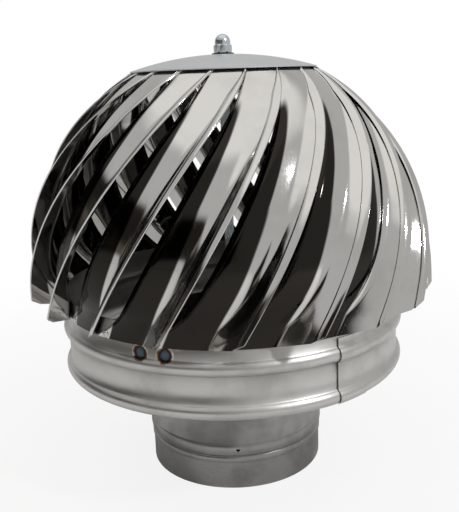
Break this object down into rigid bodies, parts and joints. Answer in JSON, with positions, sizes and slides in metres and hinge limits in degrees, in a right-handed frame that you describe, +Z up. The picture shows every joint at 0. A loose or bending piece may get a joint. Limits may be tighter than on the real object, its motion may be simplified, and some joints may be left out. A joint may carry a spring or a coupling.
{
  "type": "roof turbine ventilator",
  "caption": "Wind-driven chimney cowl: swirling vanes under a domed cap turn on a bearing above a round flue spigot to draw out air or smoke.",
  "frame": {"origin": "centre of the spigot's lower end", "axes": "+Z up along the rotor's axis, -Y the front, +X to the right"},
  "size_m": [0.3396, 0.3401, 0.365],
  "materials": {
    "satin_stainless": "satin rolled stainless sheet",
    "mirror_stainless": "bright annealed stainless sheet",
    "rivet_steel": "bright",
    "bearing_steel": "ground",
    "zinc_steel": "bright zinc plated",
    "black_rubber": "matt"
  },
  "bodies": {
    "base": {"neck_spigot": "satin_stainless", "drip_collar": "satin_stainless", "collar_rivets": "rivet_steel", "bearing_cross": "satin_stainless", "cross_rivets": "rivet_steel", "bearing_housing": "bearing_steel", "housing_bolts": "zinc_steel", "housing_nuts": "zinc_steel", "bearing_circlip": "bearing_steel", "lower_bearing_outer_race": "bearing_steel", "upper_bearing_outer_race": "bearing_steel"},
    "rotor": {"lower_bearing_inner_race": "bearing_steel", "upper_bearing_inner_race": "bearing_steel", "shaft": "zinc_steel", "shaft_lock_nut": "zinc_steel", "lower_spacer": "zinc_steel", "upper_spacer": "zinc_steel", "strap_lower_nut": "zinc_steel", "strap_upper_nut": "zinc_steel", "skirt_strap": "satin_stainless", "rotor_skirt": "satin_stainless", "vane_rivets": "rivet_steel", "vane_01": "mirror_stainless", "vane_02": "mirror_stainless", "vane_03": "mirror_stainless", "vane_04": "mirror_stainless", "vane_05": "mirror_stainless", "vane_06": "mirror_stainless", "vane_07": "mirror_stainless", "vane_08": "mirror_stainless", "vane_09": "mirror_stainless", "vane_10": "mirror_stainless", "vane_11": "mirror_stainless", "vane_12": "mirror_stainless", "vane_13": "mirror_stainless", "vane_14": "mirror_stainless", "vane_15": "mirror_stainless", "vane_16": "mirror_stainless", "vane_17": "mirror_stainless", "vane_18": "mirror_stainless", "vane_19": "mirror_stainless", "crown_ring": "satin_stainless", "cap_nut": "zinc_steel", "cap_backing_disc": "satin_stainless", "cap": "satin_stainless", "rubber_washer": "black_rubber", "acorn_nut": "zinc_steel"}
  },
  "joints": [
    {"name": "rotor_spin", "type": "hinge", "parent": "base", "child": "rotor", "pos_m": [0, 0, 0.15], "axis": [0, 0, 1], "continuous": true}
  ]
}
